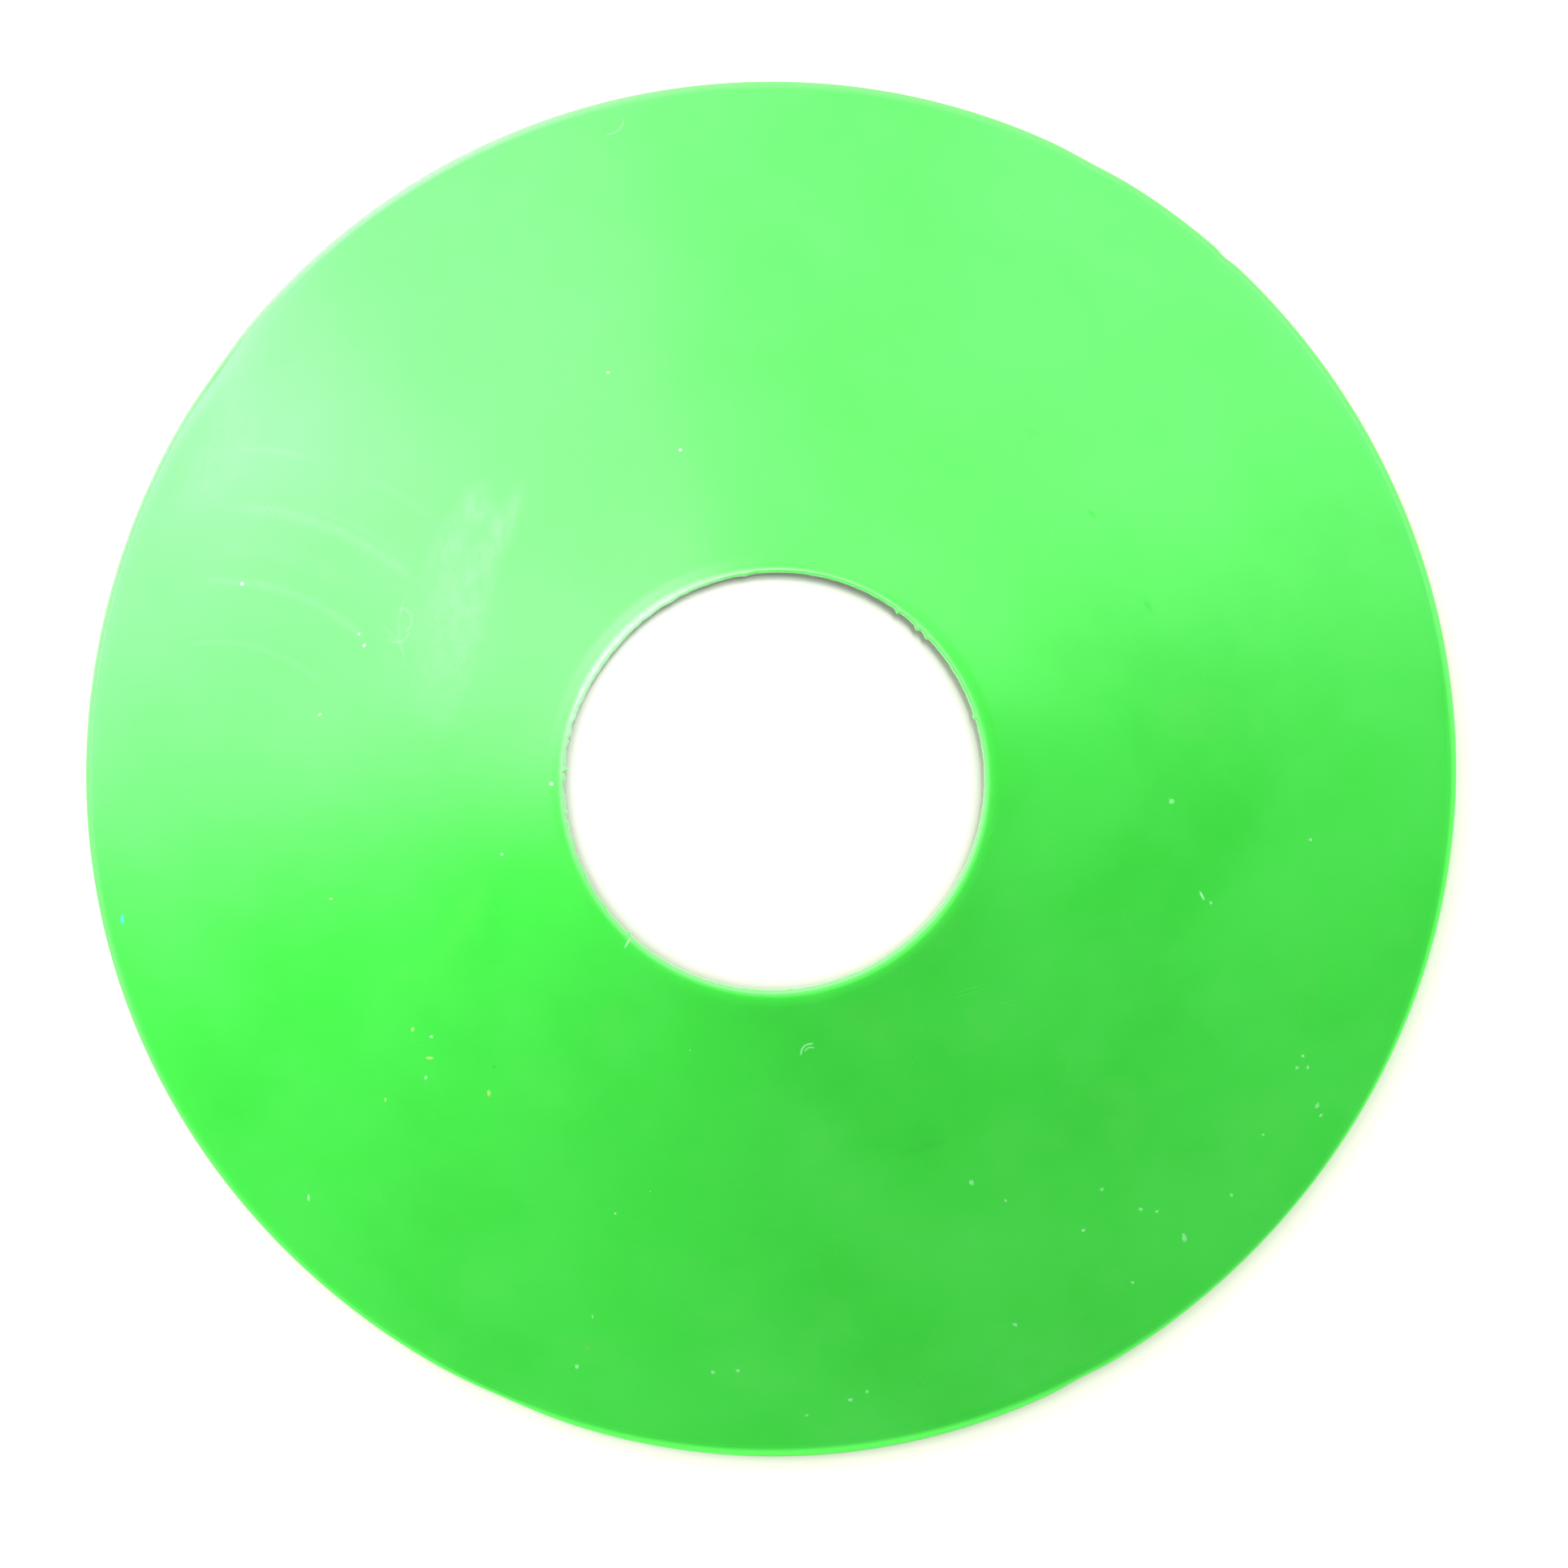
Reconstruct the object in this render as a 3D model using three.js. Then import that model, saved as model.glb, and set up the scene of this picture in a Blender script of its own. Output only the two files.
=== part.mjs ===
// Throwing ring: a single thin plastic moulding, shaped as a shallow hollow cone with a round hole
// at its top. The wall turns down into a short skirt at the rim and levels out into a lip round the
// hole. Units are millimetres and +Z is up. The origin is on the ring's axis, at the level of the
// ground that the skirt stands on.

import * as THREE from "three";

// Driving dimensions
const OUTER_DIAMETER = 200;
const HOLE_DIAMETER = 55;
const WALL = 1.8;
const SLOPE = THREE.MathUtils.degToRad(27); // how steeply the cone falls from the hole to the rim

// Rim: the wall bends down into a skirt
const RIM_BEND = 2.5; // outside radius of the bend
const SKIRT_EDGE = 0.5; // rounding of the skirt's lower outer edge
const SKIRT_STRAIGHT = 0.6; // upright part between that rounding and the bend

// Lip: the wall levels out before it ends at the hole
const LIP_BEND = 5; // outside radius of the bend
const HOLE_EDGE = 0.7; // rounding of the hole's upper edge

// How finely the round stretches are divided
const SEGMENTS_AROUND = 96;
const DEGREES_PER_STEP = 15;

// The plastic
const PLASTIC_COLOUR = 0x3fd648;
const PLASTIC_ROUGHNESS = 0.35;

// The section is drawn in a plane through the axis: x is the distance from the axis, y the height.

const outerRadius = OUTER_DIAMETER / 2;
const holeRadius = HOLE_DIAMETER / 2;
const level = Math.PI / 2; // direction of a surface that faces straight up
const coneFacing = level - SLOPE; // direction that the cone's outer face looks in

const rimCentre = new THREE.Vector2(outerRadius - RIM_BEND, SKIRT_EDGE + SKIRT_STRAIGHT);
const rimTangent = onCircle(rimCentre, RIM_BEND, coneFacing);

const lipRadius = holeRadius + HOLE_EDGE; // where the lip is level
const lipTangentRadius = lipRadius + LIP_BEND * Math.cos(coneFacing);
const lipTangentHeight = rimTangent.y + (rimTangent.x - lipTangentRadius) * Math.tan(SLOPE);
const height = lipTangentHeight + LIP_BEND * (1 - Math.sin(coneFacing));
const lipCentre = new THREE.Vector2(lipRadius, height - LIP_BEND);

const skirtEdgeCentre = new THREE.Vector2(outerRadius - SKIRT_EDGE, SKIRT_EDGE);
const holeEdgeCentre = new THREE.Vector2(lipRadius, height - HOLE_EDGE);

function onCircle(centre, radius, angle) {
  return new THREE.Vector2(Math.cos(angle), Math.sin(angle)).multiplyScalar(radius).add(centre);
}

// Points along an arc, both ends included. Angles are in radians from straight outwards.
function arc(centre, radius, from, to) {
  const turn = THREE.MathUtils.radToDeg(Math.abs(to - from));
  const steps = Math.ceil(turn / DEGREES_PER_STEP);
  return Array.from({ length: steps + 1 }, (_, i) =>
    onCircle(centre, radius, THREE.MathUtils.lerp(from, to, i / steps)));
}

// Outside: from under the skirt, up the cone and over the lip into the hole
function outerFace() {
  return [
    ...arc(skirtEdgeCentre, SKIRT_EDGE, -level, 0),
    ...arc(rimCentre, RIM_BEND, 0, coneFacing),
    ...arc(lipCentre, LIP_BEND, coneFacing, level).slice(0, -1),
    ...arc(holeEdgeCentre, HOLE_EDGE, level, Math.PI),
  ];
}

// Underside: one wall thickness inside the outer face, from the hole back down to the ground
function innerFace() {
  return [
    new THREE.Vector2(holeRadius, height - WALL),
    ...arc(lipCentre, LIP_BEND - WALL, level, coneFacing),
    ...arc(rimCentre, RIM_BEND - WALL, coneFacing, 0),
    new THREE.Vector2(outerRadius - WALL, 0),
  ];
}

function ringShell() {
  const section = [...outerFace(), ...innerFace()];
  section.push(section[0].clone());
  const geometry = new THREE.LatheGeometry(section, SEGMENTS_AROUND);
  const plastic = new THREE.MeshStandardMaterial({
    color: PLASTIC_COLOUR,
    roughness: PLASTIC_ROUGHNESS,
    metalness: 0,
  });
  const shell = new THREE.Mesh(geometry, plastic);
  shell.name = "ring_shell";
  shell.rotation.x = level; // the lathe turns about Y, and the ring stands on Z
  return shell;
}

const ring = new THREE.Group();
ring.add(ringShell());

export default ring;
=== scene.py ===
# Looks of the throwing ring: one glossy green plastic moulding, lying on a pale floor and seen
# from straight above. The CAD node is replaced by a finer shell of nearly the same section, with
# the slight warp, the torn cut edge and the wear that a used ring has. Lengths are in metres.

import math

import bpy
import numpy as np
from mathutils import Matrix, Vector


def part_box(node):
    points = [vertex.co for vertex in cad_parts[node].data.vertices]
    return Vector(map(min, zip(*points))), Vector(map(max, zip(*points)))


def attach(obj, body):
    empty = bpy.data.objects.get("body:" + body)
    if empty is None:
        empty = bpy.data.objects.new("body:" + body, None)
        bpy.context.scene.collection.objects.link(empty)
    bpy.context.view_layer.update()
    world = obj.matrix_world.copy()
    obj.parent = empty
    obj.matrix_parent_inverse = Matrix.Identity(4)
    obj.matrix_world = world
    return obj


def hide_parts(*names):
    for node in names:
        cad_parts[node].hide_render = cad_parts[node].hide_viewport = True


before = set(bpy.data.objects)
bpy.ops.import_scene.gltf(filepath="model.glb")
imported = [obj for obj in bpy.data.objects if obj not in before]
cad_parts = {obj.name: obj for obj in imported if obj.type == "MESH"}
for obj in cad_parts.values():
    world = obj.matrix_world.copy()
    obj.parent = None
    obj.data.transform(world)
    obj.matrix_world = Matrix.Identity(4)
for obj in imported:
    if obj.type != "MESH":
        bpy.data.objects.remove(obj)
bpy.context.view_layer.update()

MM = 0.001

# ---------------------------------------------------------------------------------------------
# Sizes: the outline comes from the frame. The wall, the slope, the rim and the skirt repeat the
# CAD part's, and the lip and the hole's edge bend a little more tightly than there
# ---------------------------------------------------------------------------------------------

shell_low, shell_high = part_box("ring_shell")
cad_points = np.array([v.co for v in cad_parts["ring_shell"].data.vertices])

OUTER_RADIUS = (shell_high.x - shell_low.x) / 2
HOLE_WORN = 0.22 * MM  # how much larger the worn hole's radius is than the CAD part's
HOLE_RADIUS = float(np.hypot(cad_points[:, 0], cad_points[:, 1]).min()) + HOLE_WORN
HEIGHT = shell_high.z
WALL = 1.8 * MM
SLOPE = math.radians(27)
RIM_BEND = 2.5 * MM
SKIRT_EDGE = 0.5 * MM
SKIRT_STRAIGHT = 0.6 * MM
LIP_BEND = 4.5 * MM
HOLE_EDGE = 0.35 * MM
SMALL_EDGE = 0.15 * MM  # rounding of the edges that the CAD part leaves sharp

# Steps round the ring, and along each stretch of the section
SEGMENTS_AROUND = 768
CONE_STEPS = 45
UNDERSIDE_STEPS = 17
OUTER_RIM_STEPS, INNER_RIM_STEPS = 10, 6
OUTER_LIP_STEPS, INNER_LIP_STEPS = 12, 8
SKIRT_EDGE_STEPS = 6
HOLE_EDGE_STEPS = 10
HOLE_WALL_STEPS = 4
SMALL_EDGE_STEPS = 4

EYE = Vector((-0.0251, 0.1133, 3.877)) * OUTER_RADIUS  # the camera's place and what it faces
TARGET = Vector((0.0169, -0.0152, 0)) * OUTER_RADIUS

# Where surfaces of the section face: a level one straight up, the cone a little outward of that
LEVEL = math.pi / 2
CONE_FACING = LEVEL - SLOPE


# ---------------------------------------------------------------------------------------------
# Section: points (distance from the axis, height), anticlockwise from under the skirt
# ---------------------------------------------------------------------------------------------

def arc(centre, radius, start, end, steps):
    angles = np.linspace(start, end, steps + 1)
    return np.stack([centre[0] + radius * np.cos(angles), centre[1] + radius * np.sin(angles)], 1)


def line(start, end, steps):
    share = np.linspace(0, 1, steps + 1)[1:-1, None]
    return np.array(start) * (1 - share) + np.array(end) * share


def section():
    rim = (OUTER_RADIUS - RIM_BEND, SKIRT_EDGE + SKIRT_STRAIGHT)
    lip = (HOLE_RADIUS + HOLE_EDGE, HEIGHT - LIP_BEND)
    skirt_foot = (OUTER_RADIUS - WALL + SMALL_EDGE, SMALL_EDGE)
    hole_foot = (HOLE_RADIUS + SMALL_EDGE, HEIGHT - WALL + SMALL_EDGE)
    outer_rim = arc(rim, RIM_BEND, 0, CONE_FACING, OUTER_RIM_STEPS)
    outer_lip = arc(lip, LIP_BEND, CONE_FACING, LEVEL, OUTER_LIP_STEPS)
    inner_lip = arc(lip, LIP_BEND - WALL, LEVEL, CONE_FACING, INNER_LIP_STEPS)
    inner_rim = arc(rim, RIM_BEND - WALL, CONE_FACING, 0, INNER_RIM_STEPS)
    return np.concatenate([
        arc((OUTER_RADIUS - SKIRT_EDGE, SKIRT_EDGE), SKIRT_EDGE, -LEVEL, 0, SKIRT_EDGE_STEPS),
        outer_rim,
        line(outer_rim[-1], outer_lip[0], CONE_STEPS),
        outer_lip[:-1],
        arc((lip[0], HEIGHT - HOLE_EDGE), HOLE_EDGE, LEVEL, math.pi, HOLE_EDGE_STEPS),
        line((HOLE_RADIUS, HEIGHT - HOLE_EDGE), (HOLE_RADIUS, hole_foot[1]), HOLE_WALL_STEPS),
        arc(hole_foot, SMALL_EDGE, math.pi, 1.5 * math.pi, SMALL_EDGE_STEPS),
        inner_lip,
        line(inner_lip[-1], inner_rim[0], UNDERSIDE_STEPS),
        inner_rim,
        arc(skirt_foot, SMALL_EDGE, math.pi, 1.5 * math.pi, SMALL_EDGE_STEPS),
    ])


# ---------------------------------------------------------------------------------------------
# Departures from the perfect shape
# ---------------------------------------------------------------------------------------------

# Slow waves round the ring: (waves per turn, size in mm, azimuth of a crest in degrees)
RIM_WAVES = ((2, 0.20, 88), (3, 0.04, 32), (4, 0.19, 6), (5, 0.12, -12))
HOLE_WAVES = ((2, 0.20, 30), (4, 0.05, -11), (5, 0.03, 6))
RIM_LIFTS = ((2, 0.14, 40), (3, 0.08, 100))
RIM_LIFT = 0.22 * MM  # added to those, so that no part of the rim is below the floor

# Dents in the rim: (azimuth in degrees, depth in mm, half-width in degrees)
RIM_DENTS = ((48.8, 0.22, 0.7), (62.5, 0.18, 2.5), (144, 0.2, 3), (247, 0.22, 4), (297, 0.2, 2))

# Burrs left on the hole's cut edge: (azimuth in degrees, reach in mm, half-width in degrees)
BURRS = ((54, 0.34, 0.5), (47, 0.42, 0.7), (43.5, 0.3, 0.8), (18, 0.36, 0.5), (176.5, 0.55, 0.6),
         (206, 0.2, 0.8), (216, 0.22, 0.7), (226, 0.28, 0.6), (98, 0.16, 0.9), (120, 0.14, 0.8),
         (146, 0.26, 15))
TORN_FROM, TORN_TO = 158, 200  # the part of the cut edge that is torn most, in degrees
TEAR_WAVES = (37, 61, 83, 113, 151, 197, 241)  # per turn
TEAR_ALL_ROUND, TEAR_EXTRA = 0.014 * MM, 0.05 * MM  # everywhere, and added where it is torn

# Waves of the skin: how many, how long they are, and their height for each metre of length
SKIN_WAVES = 9
SKIN_WAVE_SHORT, SKIN_WAVE_LONG = 18, 55  # mm
SKIN_WAVE_HEIGHT = 3e-4


def waves(azimuth, terms):
    return sum(size * MM * np.cos(n * (azimuth - math.radians(crest))) for n, size, crest in terms)


def away_from(azimuth, degrees):
    """How far each azimuth is from one given in degrees, the short way round, in degrees."""
    return np.abs((np.degrees(azimuth) - degrees + 180) % 360 - 180)


def bumps(azimuth, places):
    return sum(size * MM * np.exp(-(away_from(azimuth, at) / width) ** 2)
               for at, size, width in places)


def tear(azimuth, seed):
    """Fine irregular waviness of the cut edge, strongest where it is torn."""
    random = np.random.default_rng(seed)
    total = np.zeros_like(azimuth)
    for n in TEAR_WAVES:
        total += np.cos(n * azimuth + random.uniform(0, 2 * math.pi)) * random.uniform(0.4, 1)
    middle, half = (TORN_FROM + TORN_TO) / 2, (TORN_TO - TORN_FROM) / 2
    torn = np.clip(1.4 - away_from(azimuth, middle) / half, 0, 1)
    return total * (TEAR_ALL_ROUND + TEAR_EXTRA * torn)


def smooth(low, high, x):
    t = np.clip((x - low) / (high - low), 0, 1)
    return t * t * (3 - 2 * t)


def unevenness(x, y, seed):
    """Very shallow waves of the skin, which make the reflections wander a little."""
    random = np.random.default_rng(seed)
    total = np.zeros_like(x)
    for _ in range(SKIN_WAVES):
        length = random.uniform(SKIN_WAVE_SHORT, SKIN_WAVE_LONG) * MM
        turn = random.uniform(0, math.pi)
        phase = random.uniform(0, 2 * math.pi)
        along = x * math.cos(turn) + y * math.sin(turn)
        total += length * SKIN_WAVE_HEIGHT * np.sin(2 * math.pi * along / length + phase)
    return total


def shell_points():
    profile = section()
    around = np.arange(SEGMENTS_AROUND) * 2 * math.pi / SEGMENTS_AROUND
    azimuth, r = np.meshgrid(around, profile[:, 0], indexing="ij")
    z = np.broadcast_to(profile[:, 1], r.shape).copy()

    out = (r - HOLE_RADIUS) / (OUTER_RADIUS - HOLE_RADIUS)  # 0 at the hole, 1 at the rim
    near_rim = smooth(0.9, 1.0, out)
    cut = 1 - smooth(0.2 * HOLE_EDGE, 1.6 * HOLE_EDGE, r - HOLE_RADIUS)

    z += unevenness(r * np.cos(azimuth), r * np.sin(azimuth), seed=4) * smooth(0, 0.1, out) \
        * (1 - near_rim)
    z += (waves(azimuth, RIM_LIFTS) + RIM_LIFT) * out ** 2
    r = r + waves(azimuth, RIM_WAVES) * out + waves(azimuth, HOLE_WAVES) * (1 - out)
    r -= bumps(azimuth, RIM_DENTS) * near_rim
    r -= (bumps(azimuth, BURRS) + tear(azimuth, seed=9)) * cut
    return np.stack([r * np.cos(azimuth), r * np.sin(azimuth), z], -1)


def ring_mesh():
    points = shell_points()
    around, along = points.shape[:2]
    index = np.arange(around * along).reshape(around, along)
    here, there = index, np.roll(index, -1, 0)
    quads = np.stack([here, there, np.roll(there, -1, 1), np.roll(here, -1, 1)], -1)
    mesh = bpy.data.meshes.new("ring_shell_skin")
    mesh.from_pydata(points.reshape(-1, 3), [], quads.reshape(-1, 4))
    mesh.shade_smooth()
    return mesh


# ---------------------------------------------------------------------------------------------
# Plastic
# ---------------------------------------------------------------------------------------------

class Graph:
    """Short ways of adding nodes to one node tree."""

    def __init__(self, tree):
        self.tree = tree
        self.turned = {}
        tree.nodes.clear()

    def put(self, socket, value):
        if isinstance(value, bpy.types.NodeSocket):
            self.tree.links.new(value, socket)
        else:
            socket.default_value = value

    def node(self, kind, inputs=(), **settings):
        node = self.tree.nodes.new(kind)
        for name, value in settings.items():
            setattr(node, name, value)
        for name, value in dict(inputs).items():
            self.put(node.inputs[name], value)
        return node

    def math(self, operation, a, b=0.0, c=0.0):
        node = self.node("ShaderNodeMath", operation=operation)
        for socket, value in zip(node.inputs, (a, b, c)):
            self.put(socket, value)
        return node.outputs[0]

    def step(self, value, low, high, bottom=0.0, top=1.0):
        """Smooth change from bottom to top as value goes from low to high."""
        inputs = {"Value": value, "From Min": low, "From Max": high, "To Min": bottom, "To Max": top}
        return self.node("ShaderNodeMapRange", inputs, interpolation_type="SMOOTHSTEP").outputs[0]

    def vector(self, operation, a, b=(0, 0, 0), c=(0, 0, 0)):
        node = self.node("ShaderNodeVectorMath", operation=operation)
        for socket, value in zip(node.inputs, (a, b, c)):
            self.put(socket, value)
        return node.outputs["Value" if operation in ("DISTANCE", "LENGTH", "DOT_PRODUCT") else "Vector"]

    def in_turned_axes(self, place, turn):
        """The place measured along axes turned by so many degrees, worked out once for each turn."""
        if (place, turn) not in self.turned:
            inputs = {"Vector": place, "Angle": math.radians(-turn)}
            node = self.node("ShaderNodeVectorRotate", inputs, rotation_type="Z_AXIS")
            self.turned[place, turn] = node.outputs[0]
        return self.turned[place, turn]

    def local(self, place, x, y, along, across, turn=0):
        """The place measured from (x, y) in units of along and across, turned with them, all mm."""
        angle = math.radians(turn)
        forward = (x * math.cos(angle) + y * math.sin(angle)) / along
        sideways = (y * math.cos(angle) - x * math.sin(angle)) / across
        scale = (1 / (along * MM), 1 / (across * MM), 0)
        turned = self.in_turned_axes(place, turn)
        return self.vector("MULTIPLY_ADD", turned, scale, (-forward, -sideways, 0))

    def around_mark(self, place, x, y, along, across, turn=0):
        """How far a place is from a mark: 0 at its middle and 1 at its outline."""
        return self.vector("LENGTH", self.local(place, x, y, along, across, turn))

    def noise(self, place, size, detail=3.0, roughness=0.5):
        inputs = {"Vector": place, "Scale": 1 / size, "Detail": detail, "Roughness": roughness}
        return self.node("ShaderNodeTexNoise", inputs).outputs["Fac"]

    def mix(self, share, a, b):
        node = self.node("ShaderNodeMix", data_type="RGBA")
        colour_inputs = [s for s in node.inputs if s.type == "RGBA"]
        self.put(node.inputs[0], share)
        self.put(colour_inputs[0], a)
        self.put(colour_inputs[1], b)
        return [s for s in node.outputs if s.type == "RGBA"][0]


GREEN = (0.034, 0.47, 0.035, 1)
DEEP_GREEN = (0.026, 0.41, 0.027, 1)
CLOUDY = (0.050, 0.49, 0.054, 1)
PAINTED_GLOW_GREEN = (0.09, 0.86, 0.08, 1)  # painted glow: brighter green standing in for light through the thinner plastic at the lip and the rim
OLIVE = (0.085, 0.42, 0.05, 1)
SHADY = (0.03, 0.36, 0.035, 1)
MILKY = (0.42, 0.84, 0.44, 1)
PALE = (0.62, 0.93, 0.62, 1)
STRAW = (0.62, 0.60, 0.22, 1)
BROWN = (0.30, 0.20, 0.06, 1)
DARK = (0.02, 0.22, 0.03, 1)
PAINT_BLUE = (0.03, 0.50, 0.85, 1)
WHITE = (0.66, 0.90, 0.68, 1)

# Pits knocked into the top: (x, y, half-length, half-width) in mm and the turn in degrees
PITS = (
    (54.6, -3.0, 0.50, 0.42, 15), (59.6, -67.0, 0.85, 0.42, 105), (79.0, -48.0, 0.50, 0.38, 60),
    (79.7, -49.5, 0.40, 0.28, 45), (75.4, -42.0, 0.34, 0.34, 0), (77.1, -42.1, 0.34, 0.30, 90),
    (76.2, -40.3, 0.36, 0.28, 150), (27.6, -56.4, 0.55, 0.36, 120), (46.6, -58.5, 0.36, 0.32, 0),
    (44.2, -64.7, 0.38, 0.32, 135), (52.6, -62.0, 0.42, 0.32, 165), (55.1, -62.5, 0.32, 0.28, 0),
    (66.4, -60.8, 0.38, 0.30, 135), (52.1, -73.5, 0.34, 0.26, 150), (34.9, -79.2, 0.50, 0.30, 150),
    (70.7, -51.8, 0.30, 0.26, 0), (32.6, -59.4, 0.36, 0.20, 135), (-28.4, -85.5, 0.50, 0.34, 75),
    (-8.7, -85.9, 0.36, 0.34, 0), (-5.1, -85.6, 0.36, 0.32, 30), (11.2, -90.6, 0.46, 0.36, 0),
    (13.6, -89.3, 0.36, 0.30, 75), (4.9, -93.1, 0.40, 0.18, 30), (-67.0, -60.9, 0.66, 0.30, 90),
    (76.0, -8.9, 0.36, 0.24, 0), (60.8, -17.3, 0.34, 0.24, 120), (-36.4, -9.7, 0.36, 0.28, 0),
    (-25.8, -77.2, 0.34, 0.18, 90),
)

# Specks on or in the top: (x, y, half-length, half-width) in mm, turn in degrees and colour
SPECKS = (
    (-94.1, -20.9, 0.95, 0.42, 90, PAINT_BLUE), (-74.9, 27.2, 0.42, 0.36, 0, WHITE),
    (-12.6, 44.5, 0.34, 0.30, 0, WHITE), (-22.7, 55.7, 0.34, 0.30, 0, STRAW),
    (-29.4, -0.2, 0.42, 0.36, 0, WHITE), (-49.9, -34.7, 0.48, 0.30, 75, STRAW),
    (-47.6, -38.7, 0.70, 0.28, 0, STRAW), (-39.3, -43.4, 0.62, 0.32, 90, STRAW),
    (-39.3, -43.8, 0.30, 0.20, 90, BROWN), (-54.4, -45.2, 0.44, 0.20, 75, STRAW),
    (-48.3, -41.6, 0.40, 0.26, 60, PALE), (-47.2, -35.6, 0.34, 0.26, 0, PALE),
    (-26.7, -82.4, 0.40, 0.32, 90, BROWN), (-41.8, -4.0, 0.40, 0.34, 60, DARK),
    (-38.4, -39.5, 0.34, 0.30, 0, DARK), (-47.0, 7.3, 0.50, 0.30, 75, DARK),
    (-30.3, 13.2, 0.30, 0.28, 0, DARK), (21.3, -88.2, 0.34, 0.24, 90, DARK),
    (-89.7, -3.0, 0.36, 0.26, 0, DARK), (-47.1, -7.9, 0.26, 0.24, 0, DARK),
    (-62.7, 8.8, 0.40, 0.26, 30, STRAW), (59.4, -16.3, 1.0, 0.22, 120, PALE),
    (-61.3, -16.7, 0.36, 0.22, 0, STRAW), (-19.4, -21.2, 1.1, 0.18, 60, PALE),
    (-57.0, 19.9, 0.30, 0.24, 60, WHITE), (-56.2, 18.3, 0.42, 0.30, 45, WHITE),
)

# Olive smudges: (x, y, half-length, half-width) in mm, turn in degrees and strength
SMUDGES = (
    (84.1, 17.2, 2.6, 1.6, 0, 0.30), (-51.2, -27.0, 1.8, 1.6, 0, 0.34),
    (-42.0, -19.0, 7.0, 2.6, 60, 0.26), (-46.0, -27.0, 8.0, 5.0, 30, 0.16),
    (-21.8, -33.1, 3.0, 4.0, 0, 0.25), (12.7, -31.7, 7.0, 3.0, 15, 0.18),
    (57.6, 9.1, 7.0, 4.5, 165, 0.26), (22.2, -19.7, 3.0, 5.0, 150, 0.22),
    (76.0, -30.0, 4.0, 8.0, 165, 0.16),
)

# Dark rubs: (x, y, half-length, half-width) in mm, turn in degrees and strength
RUBS = (
    (19.8, -50.8, 4.8, 0.9, 15, 0.55), (22.5, -50.2, 1.8, 0.5, 15, 0.4),
    (-2.4, -54.4, 3.2, 0.9, 165, 0.3), (43.6, 36.3, 1.5, 0.5, 135, 0.35),
    (51.4, 23.6, 1.5, 0.6, 120, 0.42), (-13.4, -49.1, 4.5, 3.5, 0, 0.2),
    (-37.9, -18.0, 5.6, 2.2, 86, 0.36), (-41.4, -23.5, 6.0, 5.0, 60, 0.20),
    (-40.3, -35.0, 7.5, 5.5, 60, 0.22), (-29.5, -29.1, 6.5, 2.8, 170, 0.18),
    (38.7, -41.9, 8.0, 5.0, 15, 0.16), (73.4, 22.8, 1.0, 0.4, 15, 0.3),
    (35.4, 47.7, 1.6, 0.5, 150, 0.2),
)

# Milky scuffs: (x, y, half-length, half-width) in mm, turn in degrees and strength
SCUFFS = (
    (-42.5, 21.0, 10.6, 5.8, 81, 0.038), (-42.4, 25.2, 6.8, 5.0, 80, 0.028),
    (-44.9, 12.0, 6.4, 4.8, 80, 0.022), (-43.5, 33.4, 8.0, 2.4, 60, 0.055),
    (-36.2, 34.8, 6.4, 2.2, 66, 0.065), (-40.2, 37.6, 3.8, 2.4, 114, 0.035),
    (-39.4, 32.6, 6.0, 3.6, 72, 0.028), (-50.0, 17.6, 7.6, 4.6, 67, 0.016),
    (-46.0, 22.0, 14, 9.0, 84, 0.014), (-79.0, 46.5, 10, 5.0, 60, 0.04),
    (-52.3, 19.9, 1.9, 0.3, 135, 0.07),
)
SCUFF_SIDE = (0.963, -0.270, 0)  # they fade beyond a line: its normal, pointing to the faded side
SCUFF_SIDE_AT = -43.2  # and how far along that normal the line is from the axis, in mm
SCUFF_GRAIN = 75  # the direction that the scuffs are streaked in, in degrees
SCUFF_STREAK = (2.6, 1.7)  # length and width of the streaks, in mm

# The lip is painted pale on the side that the light comes from, as a painted highlight: its middle, and
# how far from there it starts to fade and is gone, in degrees round the ring
LIP_HIGHLIGHT_MIDDLE, LIP_HIGHLIGHT_FADES, LIP_HIGHLIGHT_GONE = 141, 8, 56
RIM_SOUND_MIDDLE, RIM_SOUND_HALF = 102, 92  # where the rim has kept its gloss, in degrees

# Arcs rubbed by a neighbour turning about one place: (radius, half-width) in mm, where each starts
# and ends in degrees round that place, and strength
SWIRL_CENTRE = (-79.0, -7.5)
SWIRLS = (
    (26.5, 0.7, 52, 98, 0.040), (35.2, 1.0, 50, 93, 0.060), (45.7, 1.3, 50, 88, 0.065),
    (47.4, 0.7, 55, 74, 0.035), (54.2, 0.8, 75, 88, 0.045), (54.0, 1.0, 54, 68, 0.025),
    (40.1, 2.2, 60, 90, 0.02),
)

# Curled scratches: (x, y, radius, half-width) in mm, middle and half-span in degrees and strength
CURLS = (
    (4.9, -36.4, 1.30, 0.20, 135, 55, 0.34), (4.9, -36.4, 0.80, 0.16, 110, 50, 0.30),
    (-42.1, 20.8, 9.1, 0.30, 180, 26, 0.06), (-51.0, 21.6, 1.7, 0.32, 20, 75, 0.08),
    (-51.3, 20.3, 1.6, 0.28, 285, 65, 0.07), (-23.6, 94.0, 2.2, 0.22, -45, 48, 0.12),
)

# Hairline scratches: direction in degrees, length and width in mm
HAIRLINES = ((15, 26, 0.22), (60, 18, 0.18), (120, 30, 0.25), (165, 14, 0.2))

SCATTERED_PIT_CELL = 5.5 * MM  # size of the patches that may each hold one scattered pit
FAR = 9.0  # farther from a mark, in its own size, than anything that counts


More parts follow.
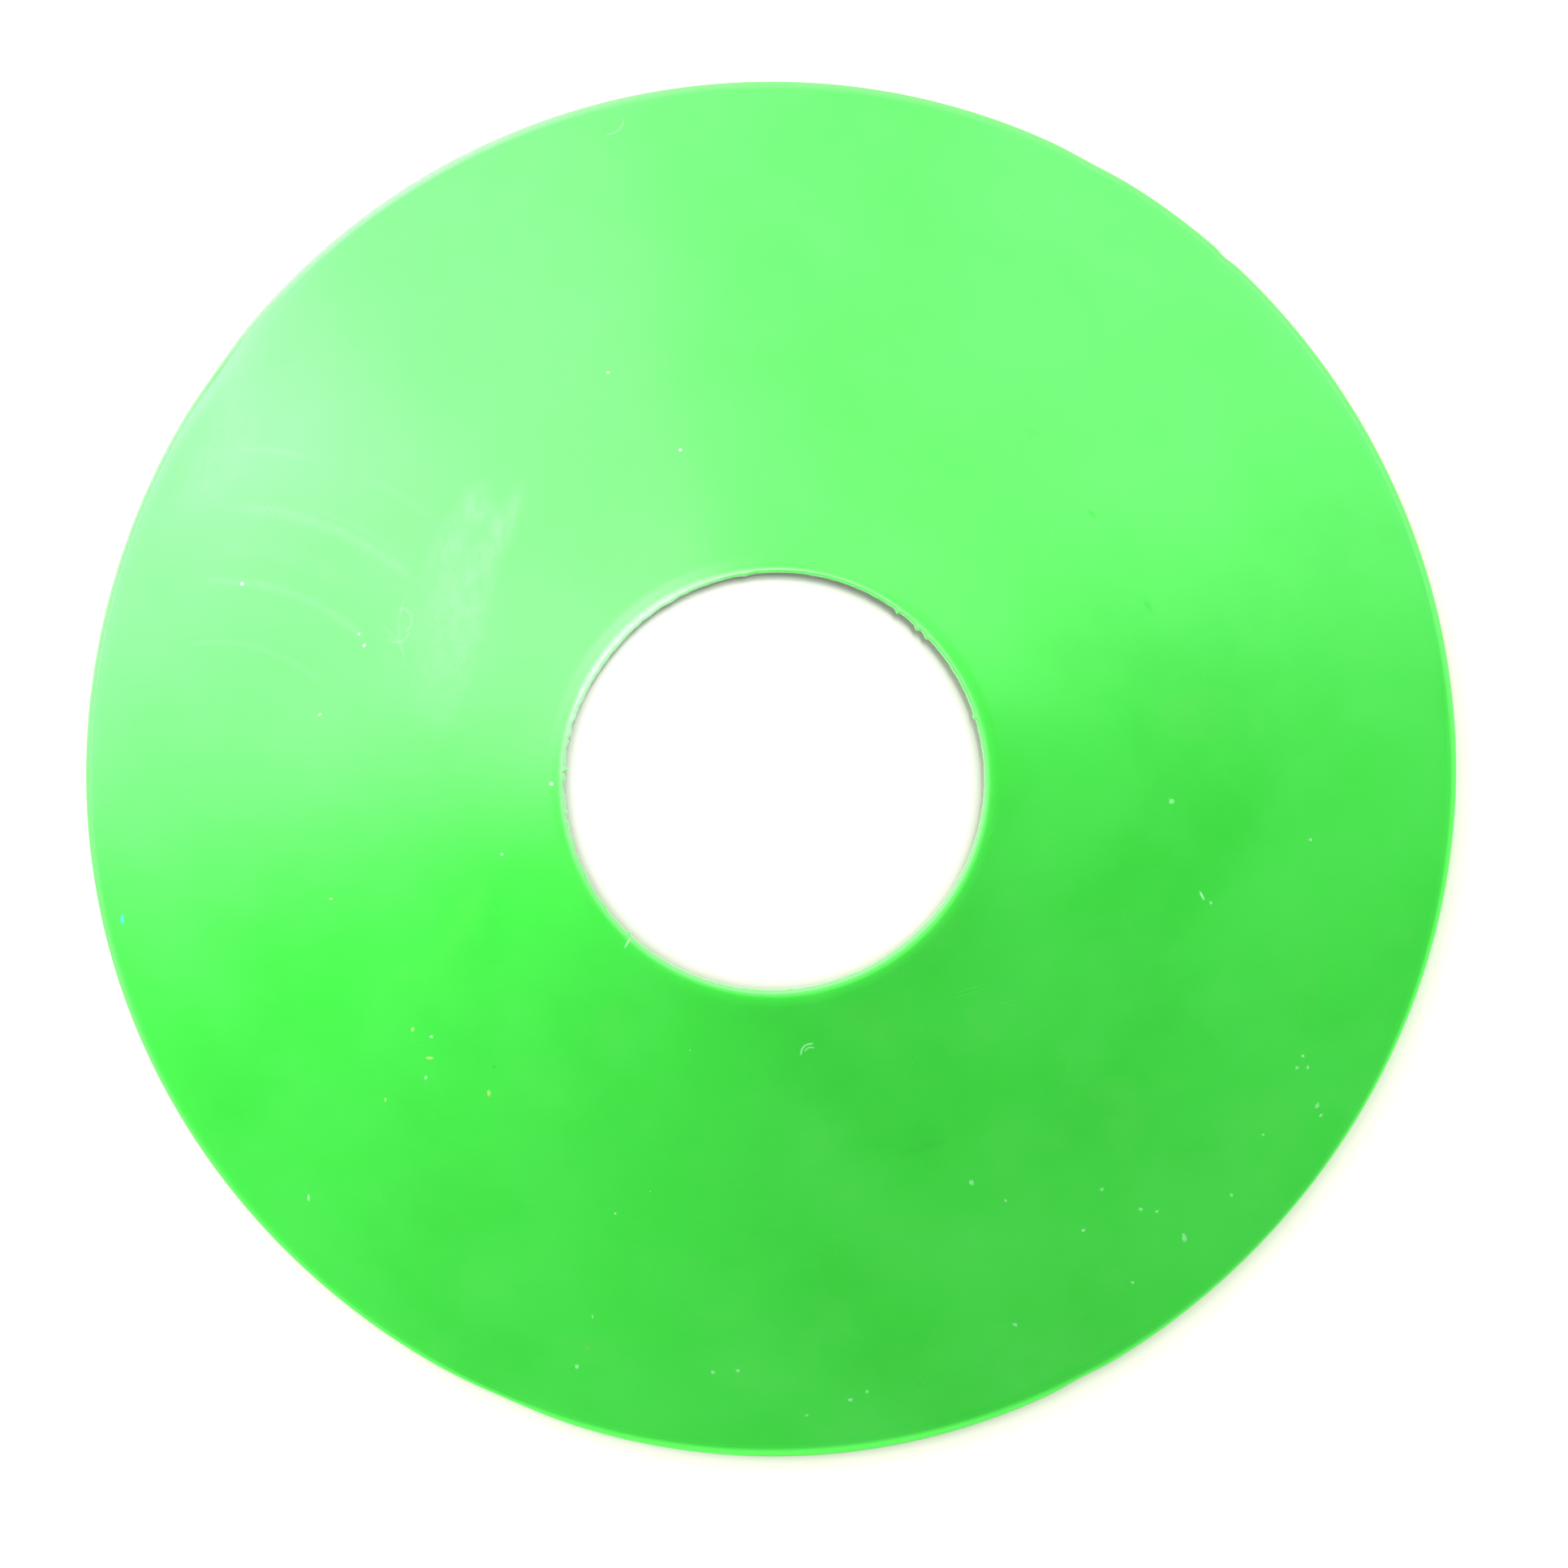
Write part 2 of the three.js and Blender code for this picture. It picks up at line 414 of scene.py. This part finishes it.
def spread(g, place):
    """Colour with its deeper patches and dirt, and how much the dirt and dark rubs dull the gloss."""
    deeper = g.step(g.noise(place, 38 * MM, 4.0, 0.6), 0.40, 0.68)
    colour = g.mix(g.math("MULTIPLY", deeper, 0.5), GREEN, DEEP_GREEN)
    lower = g.step(g.vector("DOT_PRODUCT", place, (0.35, -0.94, 0)), -20 * MM, 70 * MM)
    grubby = g.step(g.noise(place, 13 * MM, 6.0, 0.62), 0.50, 0.72)
    dirt = g.math("MULTIPLY", g.math("MULTIPLY", grubby, lower), 0.16)
    fine = g.step(g.noise(place, 1.1 * MM, 4.0, 0.7), 0.52, 0.80)
    dirt = g.math("MULTIPLY_ADD", fine, 0.12, dirt)
    smeared = g.step(g.noise(place, 1.6 * MM, 5.0, 0.65), 0.25, 0.70)
    for x, y, along, across, turn, strength in SMUDGES:
        near = g.step(g.around_mark(place, x, y, along, across, turn), 1.25, 0.2, 0, strength)
        dirt = g.math("MULTIPLY_ADD", near, smeared, dirt)
    rub = 0.0
    for x, y, along, across, turn, strength in RUBS:
        near = g.step(g.around_mark(place, x, y, along, across, turn), 1.1, 0.1, 0, strength)
        rub = g.math("MULTIPLY_ADD", near, smeared, rub)
    return g.mix(rub, g.mix(dirt, colour, OLIVE), SHADY), g.math("MULTIPLY_ADD", dirt, 0.3, rub)


def rubbed(g, place):
    """Where the gloss is rubbed to a milky haze: scuffed patches, arcs and curled scratches."""
    grain = g.local(place, 0, 0, *SCUFF_STREAK, SCUFF_GRAIN)
    broken = g.step(g.noise(grain, 1, 7, 0.68), 0.36, 0.62, 0.42, 1.1)
    haze = 0.0
    for x, y, along, across, turn, strength in SCUFFS:
        near = g.step(g.around_mark(place, x, y, along, across, turn), 1.3, 0.35, 0, strength)
        haze = g.math("MULTIPLY_ADD", near, broken, haze)
    side = g.vector("DOT_PRODUCT", place, SCUFF_SIDE)
    stops = g.step(side, (SCUFF_SIDE_AT + 0.5) * MM, (SCUFF_SIDE_AT - 0.5) * MM, 0.35)
    haze = g.math("MULTIPLY", haze, stops)
    from_centre = g.local(place, *SWIRL_CENTRE, 1, 1)
    x, y, _ = g.node("ShaderNodeSeparateXYZ", {"Vector": from_centre}).outputs
    angle = g.math("DEGREES", g.math("ARCTAN2", y, x))
    reach = g.vector("LENGTH", from_centre)
    scratchy = g.step(g.noise(place, 3.5 * MM, 7.0, 0.72), 0.28, 0.66, 0.35)
    for radius, half_width, start, end, strength in SWIRLS:
        off = g.math("ABSOLUTE", g.math("SUBTRACT", reach, radius))
        off_middle = g.math("ABSOLUTE", g.math("SUBTRACT", angle, (start + end) / 2))
        runs = g.step(off_middle, (end - start) / 2 + 3, (end - start) / 2 - 5, 0, strength)
        line = g.math("MULTIPLY", g.step(off, half_width, 0), runs)
        haze = g.math("MULTIPLY_ADD", line, scratchy, haze)
    for x, y, radius, half_width, middle, half_span, strength in CURLS:
        near = g.local(place, x, y, radius, radius)
        off = g.math("ABSOLUTE", g.math("SUBTRACT", g.vector("LENGTH", near), 1))
        outward = (math.cos(math.radians(middle)), math.sin(math.radians(middle)), 0)
        end = math.cos(math.radians(half_span))
        runs = g.step(g.vector("DOT_PRODUCT", near, outward), end - 0.1, end + 0.1, 0, strength)
        line = g.step(off, half_width / radius, 0.3 * half_width / radius)
        haze = g.math("MULTIPLY_ADD", line, runs, haze)
    return haze


def pits(g, place):
    """How far a place is from the nearest pit, placed or scattered: 0 at its middle, 1 at its edge."""
    nearest = FAR
    for x, y, along, across, turn in PITS:
        nearest = g.math("MINIMUM", g.around_mark(place, x, y, along, across, turn), nearest)
    cells = g.node("ShaderNodeTexVoronoi", {"Vector": place, "Scale": 1 / SCATTERED_PIT_CELL})
    lot = g.node("ShaderNodeSeparateColor", {"Color": cells.outputs["Color"]}).outputs
    lower = g.step(g.vector("DOT_PRODUCT", place, (0.45, -0.9, 0)), -10 * MM, 70 * MM, 0.93, 0.66)
    size = g.math("MULTIPLY", g.step(lot[0], lower, 1.0, 0.0, 0.045), g.step(lot[1], 0, 1, 0.4, 1))
    size = g.math("ADD", size, 1e-4)
    scattered = g.math("DIVIDE", cells.outputs["Distance"], size)
    return g.math("MINIMUM", scattered, nearest)


def hairlines(g, place):
    """Where the hairline scratches are: 0 between them, 0.5 on one and more where they cross."""
    total = 0.0
    for turn, length, width in HAIRLINES:
        lines = g.local(place, 0, 0, length, width, turn)
        noise = g.node("ShaderNodeTexNoise", {"Vector": lines, "Scale": 1.0, "Detail": 1.0})
        total = g.math("MULTIPLY_ADD", g.step(noise.outputs["Fac"], 0.68, 0.78), 0.5, total)
    return total


def plastic():
    material = bpy.data.materials.new("green_plastic_moulded")
    material.use_nodes = True
    g = Graph(material.node_tree)
    coordinates = g.node("ShaderNodeTexCoord").outputs
    place = coordinates["Object"]
    facing_up = g.vector("DOT_PRODUCT", coordinates["Normal"], (0, 0, 1))
    top = g.step(facing_up, -0.05, 0.25)
    flat = g.vector("MULTIPLY", place, (1, 1, 0))
    from_axis = g.vector("LENGTH", flat)

    haze = g.math("MULTIPLY", rubbed(g, flat), top)
    pit = pits(g, flat)
    pit_floor = g.math("MULTIPLY", g.step(pit, 1.0, 0.55), top)
    # Painted highlight: each pit is painted pale, standing in for the light that its rim catches
    pit_highlight = g.math("MULTIPLY", g.step(pit, 0.95, 0.35, 0, 0.24), top)
    lines = hairlines(g, flat)

    # The lip round the hole is paler where the cut edge was torn and has whitened, and is painted pale as
    # a highlight on the side that the light comes from
    x, y, _ = g.node("ShaderNodeSeparateXYZ", {"Vector": flat}).outputs
    azimuth = g.math("WRAP", g.math("DEGREES", g.math("ARCTAN2", y, x)), 360, 0)
    off_tear = g.math("ABSOLUTE", g.math("SUBTRACT", azimuth, (TORN_FROM + TORN_TO) / 2))
    torn = g.step(off_tear, (TORN_TO - TORN_FROM) / 2 + 10, (TORN_TO - TORN_FROM) / 2 - 5)
    worn = g.step(g.noise(place, 0.9 * MM, 5.0, 0.6), 0.30, 0.66, 0.55)
    lip = g.step(from_axis, HOLE_RADIUS + 3.0 * MM, HOLE_RADIUS + 0.2 * MM)
    lip_edge = g.step(from_axis, HOLE_RADIUS + 1.0 * MM, HOLE_RADIUS + 0.1 * MM)
    # The side that the light comes from, where the lip and the rim get a painted highlight
    off_highlight = g.math("ABSOLUTE", g.math("SUBTRACT", azimuth, LIP_HIGHLIGHT_MIDDLE))
    lit_side = g.step(off_highlight, LIP_HIGHLIGHT_GONE, LIP_HIGHLIGHT_FADES)
    # Where the cut edge was torn it is whitened; on the side that the light comes from it is painted pale
    # as a highlight
    torn_and_lit_side = g.math("MAXIMUM", g.math("MULTIPLY", torn, 0.4), lit_side)
    stress_and_highlight = g.math("MULTIPLY", lip_edge, g.step(torn_and_lit_side, 0, 1, 0.04, 0.52))
    # Painted highlight: the lip is painted pale on the side that the light comes from
    lip_highlight = g.math("MULTIPLY", lit_side,
                     g.step(from_axis, HOLE_RADIUS + 2.8 * MM, HOLE_RADIUS + 0.6 * MM, 0, 0.20))
    rim_edge = g.step(from_axis, OUTER_RADIUS - 1.5 * MM, OUTER_RADIUS - 0.3 * MM)
    # Painted glow: the lip's and the rim's edges are painted brighter green
    painted_glow = g.math("MULTIPLY_ADD", lip_edge, 0.7, rim_edge)

    # The bend of the rim is scoured dull, except on the side that the light comes from
    off_sound = g.math("ABSOLUTE", g.math("SUBTRACT", azimuth, RIM_SOUND_MIDDLE))
    dull_side = g.step(off_sound, RIM_SOUND_HALF - 15, RIM_SOUND_HALF + 15)
    outer_bend = g.step(from_axis, OUTER_RADIUS - 2.2 * MM, OUTER_RADIUS - 0.9 * MM)
    rim_rough = g.math("MAXIMUM", rim_edge, g.math("MULTIPLY", outer_bend, dull_side))
    whole_bend = g.step(from_axis, OUTER_RADIUS - 3.4 * MM, OUTER_RADIUS - 1.6 * MM)
    rim_dull = g.math("MAXIMUM", rim_edge, g.math("MULTIPLY", whole_bend, dull_side))
    # Painted highlight: the rim's edge is painted pale on the side that the light comes from, and a
    # little pale all round from wear
    rim_wear_and_highlight = g.math("MULTIPLY", rim_edge, g.step(lit_side, 0, 1, 0.03, 0.25))
    rim_wear_and_highlight = g.math("MULTIPLY", rim_wear_and_highlight, g.step(facing_up, 0, 0.5))
    edges = g.math("MULTIPLY", g.math("ADD", stress_and_highlight, rim_wear_and_highlight), worn)

    colour, dulled = spread(g, flat)
    clouds = g.step(g.noise(flat, 26 * MM, 3.0, 0.55), 0.35, 0.7, 0, 0.5)
    colour = g.mix(clouds, colour, CLOUDY)
    colour = g.mix(haze, colour, MILKY)
    # painted glow on the lip's and the rim's edges
    colour = g.mix(painted_glow, colour, PAINTED_GLOW_GREEN)
    # painted highlight on the lip's lit side
    colour = g.mix(lip_highlight, colour, PALE)
    colour = g.mix(g.math("MULTIPLY", lines, 0.03), colour, MILKY)
    # paler edges: whitening where torn and worn, and a painted highlight on the lit side
    colour = g.mix(edges, colour, PALE)
    # painted highlight in the pits
    colour = g.mix(pit_highlight, colour, PALE)
    for x, y, along, across, turn, speck in SPECKS:
        here = g.step(g.around_mark(flat, x, y, along, across, turn), 1.0, 0.3, 0, 0.42)
        colour = g.mix(g.math("MULTIPLY", here, top), colour, speck)

    skin = g.noise(place, 1.4 * MM, 4.0, 0.7)
    roughness = g.step(g.noise(place, 17 * MM, 5.0, 0.6), 0.3, 0.7, 0.17, 0.25)
    roughness = g.math("MULTIPLY_ADD", haze, 0.55, roughness)
    roughness = g.math("MULTIPLY_ADD", lip, 0.10, roughness)
    roughness = g.math("MULTIPLY_ADD", edges, 0.15, roughness)
    roughness = g.math("MULTIPLY_ADD", rim_rough, 0.38, roughness)
    roughness = g.math("MULTIPLY_ADD", lines, 0.06, roughness)
    roughness = g.math("ADD", roughness, g.step(facing_up, 0.1, -0.2, 0, 0.2))

    height = g.math("MULTIPLY", skin, 0.0038 * MM)
    height = g.math("MULTIPLY_ADD", lines, -0.0012 * MM, height)
    height = g.math("MULTIPLY_ADD", pit_floor, -0.05 * MM, height)
    height = g.math("MULTIPLY_ADD", g.noise(place, 22 * MM, 2.0), 0.12 * MM, height)
    bump = g.node("ShaderNodeBump", {"Height": height, "Distance": 1.0, "Strength": 1.0})

    shine = g.math("MULTIPLY_ADD", dulled, -0.9, 0.5)
    scoured = g.step(lit_side, 0, 1, 0.40, 0)
    shine = g.math("SUBTRACT", shine, g.math("MULTIPLY", rim_dull, scoured))

    shader = g.node("ShaderNodeBsdfPrincipled", {
        "Base Color": colour,
        "Roughness": g.math("MINIMUM", roughness, 0.8),
        "Specular IOR Level": shine,
        "Normal": bump.outputs[0],
    })
    shader.inputs["IOR"].default_value = 1.49
    out = g.node("ShaderNodeOutputMaterial")
    g.put(out.inputs["Surface"], shader.outputs[0])
    return material


# ---------------------------------------------------------------------------------------------
# Studio
# ---------------------------------------------------------------------------------------------

# Soft panels round the ring: azimuths where one starts and ends and how softly it does at each,
# elevations of its foot and top and how softly it ends at the top, how far its sides lean for
# each degree up (all in degrees), and its brightness
PANELS = (
    dict(start=15, start_soft=24, end=108, end_soft=20, foot=4, top=72, top_soft=20, lean=0.7, light=2.3),
    dict(start=101, start_soft=3, end=190, end_soft=14, foot=4, top=56, top_soft=20, lean=0.5, light=1.3),
    dict(start=112, start_soft=30, end=179, end_soft=22, foot=4, top=60, top_soft=20, lean=0, light=4.2),
    dict(start=139, start_soft=7, end=154, end_soft=8, foot=12, top=22, top_soft=4, lean=0, light=7.0),
    dict(start=134, start_soft=14, end=192, end_soft=14, foot=8, top=23, top_soft=8, lean=0, light=2.3),
    dict(start=24, start_soft=14, end=66, end_soft=14, foot=8, top=23, top_soft=8, lean=0, light=1.2),
    dict(start=32, start_soft=14, end=98, end_soft=12, foot=56, top=74, top_soft=10, lean=0, light=1.4),
    dict(start=-100, start_soft=1, end=400, end_soft=1, foot=0, top=8, top_soft=3, lean=0, light=7.0),
)
LEAN_FROM = 22  # the elevation at which a leaning side stands at its own azimuth
FOOT_SOFT = 4  # how softly every panel ends at its foot
AMBIENT = 0.10  # brightness all round, to which the panels add
LOW_LIGHT = (0.90, 0.98, 1.10, 1)  # tint of the panels low down
HIGH_LIGHT = (0.98, 0.99, 1.00, 1)  # and high up
LOW_LIGHT_TO, HIGH_LIGHT_FROM = 18, 36  # the elevations that it changes between
OVERHEAD = 1.5  # brightness of a soft round light straight above
OVERHEAD_FROM, OVERHEAD_FULL = 70, 88  # the elevations where it starts and is full, in degrees
BACKDROP = 1.05  # brightness of what the camera sees beyond the floor

LAMP_POWER = 0.40
LAMP_SIZE = 24 * MM
LAMP_ASIDE = Vector((-2, 8, 4)) * MM  # from the camera to the lamp
SPOT_POWER = 11.0  # of all the spots together
SPOT_COLOUR = (0.88, 0.93, 1.06)
SPOT_SIZE = 3 * MM
SPOTS_ASIDE = ((4, 3.2, 4), (3.6, 6.5, 4), (3.2, 9.8, 4))  # from the camera to each, in mm
SPOT_REACH = 31.2 * MM  # radius of the round patch of floor that they light
SPOT_SHIFT = Vector((-0.4, 0.5, 0)) * MM  # of that patch from what the camera sees through the hole
SPOT_FADE = 0.25  # how soft the patch's edge is, from 0 to 1

FLOOR = (0.62, 0.60, 0.495, 1)
FLOOR_HALF = 6.0  # half the width of the floor
FLOOR_BELOW = 0.1 * MM  # how far it lies below the plane of the skirt's foot
FLOOR_GLOW = 0.22  # painted light: how bright the floor round the ring looks to the camera by itself, as on a lit table
GLOW_INSIDE = 0.14  # the same within the hole, lower, so that the floor seen through the hole is painted darker

LENS, SENSOR_WIDTH = 60.76, 36.0  # mm


def studio_light():
    world = bpy.data.worlds.new("studio")
    bpy.context.scene.world = world
    world.use_nodes = True
    g = Graph(world.node_tree)
    direction = g.node("ShaderNodeTexCoord").outputs["Generated"]
    x, y, z = g.node("ShaderNodeSeparateXYZ", {"Vector": direction}).outputs
    azimuth = g.math("DEGREES", g.math("ARCTAN2", y, x))
    azimuth = g.math("WRAP", azimuth, 315, -45)  # so that no panel but the last crosses the seam
    elevation = g.math("DEGREES", g.math("ARCSINE", z))
    raised = g.math("SUBTRACT", elevation, LEAN_FROM)
    plain = g.math("ADD", g.step(elevation, OVERHEAD_FROM, OVERHEAD_FULL, 0, OVERHEAD), AMBIENT)
    total = 0.0
    for p in PANELS:
        above_foot = g.step(elevation, p["foot"] - FOOT_SOFT, p["foot"] + FOOT_SOFT)
        below_top = g.step(elevation, p["top"] + p["top_soft"], p["top"] - p["top_soft"])
        height = g.math("MULTIPLY", above_foot, below_top)
        at = g.math("MULTIPLY_ADD", raised, -p["lean"], azimuth)
        past_start = g.step(at, p["start"] - p["start_soft"], p["start"] + p["start_soft"])
        before_end = g.step(at, p["end"] + p["end_soft"], p["end"] - p["end_soft"])
        across = g.math("MULTIPLY", past_start, before_end)
        total = g.math("MULTIPLY_ADD", g.math("MULTIPLY", across, height), p["light"], total)
    seen = g.node("ShaderNodeLightPath").outputs["Is Camera Ray"]
    tint = g.mix(g.step(elevation, LOW_LIGHT_TO, HIGH_LIGHT_FROM), LOW_LIGHT, HIGH_LIGHT)
    panels = g.node("ShaderNodeBackground", {"Color": tint, "Strength": total})
    rest = g.node("ShaderNodeBackground", {"Color": (1, 1, 1, 1), "Strength": plain})
    lit = g.node("ShaderNodeAddShader", {0: panels.outputs[0], 1: rest.outputs[0]})
    backdrop = g.node("ShaderNodeBackground", {"Color": (1, 1, 1, 1), "Strength": BACKDROP})
    both = g.node("ShaderNodeMixShader", {0: seen, 1: lit.outputs[0], 2: backdrop.outputs[0]})
    out = g.node("ShaderNodeOutputWorld")
    g.put(out.inputs["Surface"], both.outputs[0])


def floor():
    mesh = bpy.data.meshes.new("floor")
    half = FLOOR_HALF
    corners = [(-half, -half, 0), (half, -half, 0), (half, half, 0), (-half, half, 0)]
    mesh.from_pydata(corners, [], [(0, 1, 2, 3)])
    material = bpy.data.materials.new("pale_floor")
    material.use_nodes = True
    g = Graph(material.node_tree)
    diffuse = g.node("ShaderNodeBsdfDiffuse", {"Color": FLOOR})
    seen = g.node("ShaderNodeLightPath").outputs["Is Camera Ray"]
    from_axis = g.vector("LENGTH", g.node("ShaderNodeTexCoord").outputs["Object"])
    # Painted light on the floor, seen by the camera only, and lower within the hole as painted shade
    painted_floor_light = g.step(from_axis, 1.3 * HOLE_RADIUS, 0.9 * OUTER_RADIUS, GLOW_INSIDE, FLOOR_GLOW)
    glow = g.node("ShaderNodeEmission", {"Strength": g.math("MULTIPLY", seen, painted_floor_light)})
    top = g.node("ShaderNodeAddShader", {0: diffuse.outputs[0], 1: glow.outputs[0]})
    under = g.node("ShaderNodeBsdfTransparent")
    back = g.node("ShaderNodeNewGeometry").outputs["Backfacing"]
    both = g.node("ShaderNodeMixShader", {0: back, 1: top.outputs[0], 2: under.outputs[0]})
    out = g.node("ShaderNodeOutputMaterial")
    g.put(out.inputs["Surface"], both.outputs[0])
    mesh.materials.append(material)
    obj = bpy.data.objects.new("floor", mesh)
    bpy.context.scene.collection.objects.link(obj)
    obj.location.z = -FLOOR_BELOW
    return obj


def aimed(eye, target):
    """Matrix of a camera or lamp at eye that faces target, with the ring's +Y up in its view."""
    back = (eye - target).normalized()
    right = Vector((0, 1, 0)).cross(back).normalized()
    up = back.cross(right)
    turn = Matrix((right, up, back)).transposed().to_4x4()
    return Matrix.Translation(eye) @ turn


def camera():
    """Held over the ring, a little beyond its middle, and looking almost straight down."""
    data = bpy.data.cameras.new("camera")
    data.lens = LENS
    data.sensor_width = SENSOR_WIDTH
    obj = bpy.data.objects.new("camera", data)
    bpy.context.scene.collection.objects.link(obj)
    obj.matrix_world = aimed(EYE, TARGET)
    bpy.context.scene.camera = obj


def lamp():
    """A small lamp just beside the camera, which lights the ring and the floor inside the hole."""
    data = bpy.data.lights.new("lamp", "AREA")
    data.shape = "DISK"
    data.size = LAMP_SIZE
    data.energy = LAMP_POWER
    obj = bpy.data.objects.new("lamp", data)
    bpy.context.scene.collection.objects.link(obj)
    obj.matrix_world = aimed(EYE + LAMP_ASIDE, TARGET)
    obj.visible_camera = False


def spots(ground):
    """Small lamps beside the camera that light only the floor, for what is seen through the hole."""
    share = HEIGHT / (EYE.z - HEIGHT)
    behind_hole = Vector((-EYE.x * share, -EYE.y * share, 0))  # as the camera sees it
    middle = behind_hole + SPOT_SHIFT
    only = bpy.data.collections.new("lit_by_spots")
    only.objects.link(ground)
    for number, aside in enumerate(SPOTS_ASIDE, 1):
        data = bpy.data.lights.new(f"spot_{number}", "SPOT")
        data.energy = SPOT_POWER / len(SPOTS_ASIDE)
        data.color = SPOT_COLOUR
        data.shadow_soft_size = SPOT_SIZE / 2
        data.spot_size = 2 * math.atan(SPOT_REACH / EYE.z)
        data.spot_blend = SPOT_FADE
        obj = bpy.data.objects.new(f"spot_{number}", data)
        bpy.context.scene.collection.objects.link(obj)
        obj.matrix_world = aimed(EYE + Vector(aside) * MM, middle)
        obj.visible_camera = False
        obj.light_linking.receiver_collection = only


# ---------------------------------------------------------------------------------------------
# The object
# ---------------------------------------------------------------------------------------------

def ring():
    obj = bpy.data.objects.new("ring_skin", ring_mesh())
    obj.data.materials.append(plastic())
    bpy.context.scene.collection.objects.link(obj)
    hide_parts("ring_shell")
    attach(obj, "root")


ring()
ground = floor()
studio_light()
lamp()
spots(ground)
camera()

bpy.context.scene.view_settings.view_transform = "Standard"
